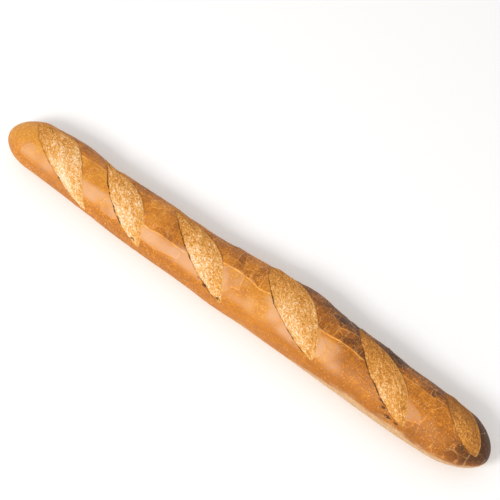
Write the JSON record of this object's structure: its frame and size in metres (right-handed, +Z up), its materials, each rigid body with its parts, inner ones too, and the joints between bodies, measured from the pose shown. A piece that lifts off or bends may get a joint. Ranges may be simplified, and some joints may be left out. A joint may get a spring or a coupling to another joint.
{
  "type": "baguette",
  "caption": "Long crusty bread stick, slightly uneven and rounded at both ends, with slanting slashes burst open along its top and a flat underside to lie on.",
  "frame": {"origin": "centre of the loaf's bounding box, on the flat underside it lies on", "axes": "+X along the loaf to its browner end, +Z up through the slashed crown, -Y towards the side where the slashes run out"},
  "size_m": [0.6, 0.0748, 0.0544],
  "materials": {
    "crust": "golden brown baked crust, satin, with paler rough crumb in the opened slashes"
  },
  "bodies": {
    "root": {"loaf": "crust"}
  },
  "joints": []
}
